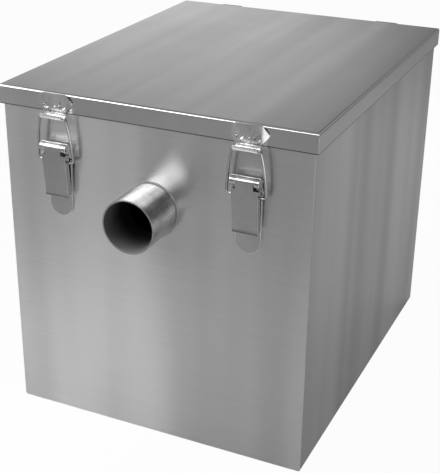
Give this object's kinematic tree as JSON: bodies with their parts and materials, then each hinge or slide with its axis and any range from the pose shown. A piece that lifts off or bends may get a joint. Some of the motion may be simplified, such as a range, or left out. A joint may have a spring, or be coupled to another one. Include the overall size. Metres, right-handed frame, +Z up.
{
  "type": "grease trap",
  "caption": "Brushed stainless steel grease trap: a box tank with pipe stubs at both ends, a lift-off lid held by draw latches, and a strainer basket and baffles inside.",
  "frame": {"origin": "middle of the tank's underside, on the ground", "axes": "+Z up, the inlet end faces -Y, +X to the right seen from the inlet end"},
  "size_m": [0.3064, 0.463, 0.3302],
  "materials": {
    "brushed_sheet": "brushed stainless sheet with a fine level grain",
    "pipe_steel": "bright drawn stainless tube",
    "inner_sheet": "mill finish stainless sheet and wire",
    "latch_steel": "tumbled and polished stainless pressings and wire",
    "gasket_rubber": "flat black rubber"
  },
  "bodies": {
    "tank": {"tank_wrap": "brushed_sheet", "inlet_panel": "brushed_sheet", "outlet_panel": "brushed_sheet", "inlet_pipe": "pipe_steel", "outlet_pipe": "pipe_steel", "lid": "brushed_sheet", "lid_gasket": "gasket_rubber", "inlet_guide_left": "inner_sheet", "inlet_guide_right": "inner_sheet", "outlet_guide_left": "inner_sheet", "outlet_guide_right": "inner_sheet", "inlet_baffle": "inner_sheet", "outlet_baffle": "inner_sheet", "basket_ledge_left": "inner_sheet", "basket_ledge_right": "inner_sheet", "basket_body": "inner_sheet", "basket_floor": "inner_sheet", "inlet_left_keeper": "latch_steel", "inlet_left_base": "latch_steel", "inlet_left_pin": "latch_steel", "inlet_right_keeper": "latch_steel", "inlet_right_base": "latch_steel", "inlet_right_pin": "latch_steel", "outlet_left_keeper": "latch_steel", "outlet_left_base": "latch_steel", "outlet_left_pin": "latch_steel", "outlet_right_keeper": "latch_steel", "outlet_right_base": "latch_steel", "outlet_right_pin": "latch_steel"},
    "handle": {"basket_handle": "inner_sheet"},
    "inlet_left_lever": {"inlet_left_lever": "latch_steel"},
    "inlet_left_bail": {"inlet_left_bail": "latch_steel"},
    "inlet_right_lever": {"inlet_right_lever": "latch_steel"},
    "inlet_right_bail": {"inlet_right_bail": "latch_steel"},
    "outlet_left_lever": {"outlet_left_lever": "latch_steel"},
    "outlet_left_bail": {"outlet_left_bail": "latch_steel"},
    "outlet_right_lever": {"outlet_right_lever": "latch_steel"},
    "outlet_right_bail": {"outlet_right_bail": "latch_steel"}
  },
  "joints": [
    {"name": "basket_handle_swing", "type": "hinge", "parent": "tank", "child": "handle", "pos_m": [0, -0.1269, 0.209], "axis": [1, 0, 0], "range_deg": [0, 180]},
    {"name": "inlet_left_lever_pivot", "type": "hinge", "parent": "tank", "child": "inlet_left_lever", "pos_m": [-0.093, -0.19605, 0.2812], "axis": [-1, 0, 0], "range_deg": [0, 90]},
    {"name": "inlet_left_bail_pivot", "type": "hinge", "parent": "inlet_left_lever", "child": "inlet_left_bail", "pos_m": [-0.093, -0.19425, 0.2677], "axis": [-1, 0, 0], "range_deg": [-68, 0]},
    {"name": "inlet_right_lever_pivot", "type": "hinge", "parent": "tank", "child": "inlet_right_lever", "pos_m": [0.093, -0.19605, 0.2812], "axis": [-1, 0, 0], "range_deg": [0, 90]},
    {"name": "inlet_right_bail_pivot", "type": "hinge", "parent": "inlet_right_lever", "child": "inlet_right_bail", "pos_m": [0.093, -0.19425, 0.2677], "axis": [-1, 0, 0], "range_deg": [-68, 0]},
    {"name": "outlet_left_lever_pivot", "type": "hinge", "parent": "tank", "child": "outlet_left_lever", "pos_m": [-0.093, 0.19605, 0.2812], "axis": [1, 0, 0], "range_deg": [0, 90]},
    {"name": "outlet_left_bail_pivot", "type": "hinge", "parent": "outlet_left_lever", "child": "outlet_left_bail", "pos_m": [-0.093, 0.19425, 0.2677], "axis": [1, 0, 0], "range_deg": [-68, 0]},
    {"name": "outlet_right_lever_pivot", "type": "hinge", "parent": "tank", "child": "outlet_right_lever", "pos_m": [0.093, 0.19605, 0.2812], "axis": [1, 0, 0], "range_deg": [0, 90]},
    {"name": "outlet_right_bail_pivot", "type": "hinge", "parent": "outlet_right_lever", "child": "outlet_right_bail", "pos_m": [0.093, 0.19425, 0.2677], "axis": [1, 0, 0], "range_deg": [-68, 0]}
  ],
  "couplings": [
    {"joint": "inlet_left_bail_pivot", "follows": "inlet_left_lever_pivot", "ratio": -0.7395},
    {"joint": "inlet_right_bail_pivot", "follows": "inlet_right_lever_pivot", "ratio": -0.7395},
    {"joint": "outlet_left_bail_pivot", "follows": "outlet_left_lever_pivot", "ratio": -0.7395},
    {"joint": "outlet_right_bail_pivot", "follows": "outlet_right_lever_pivot", "ratio": -0.7395}
  ]
}
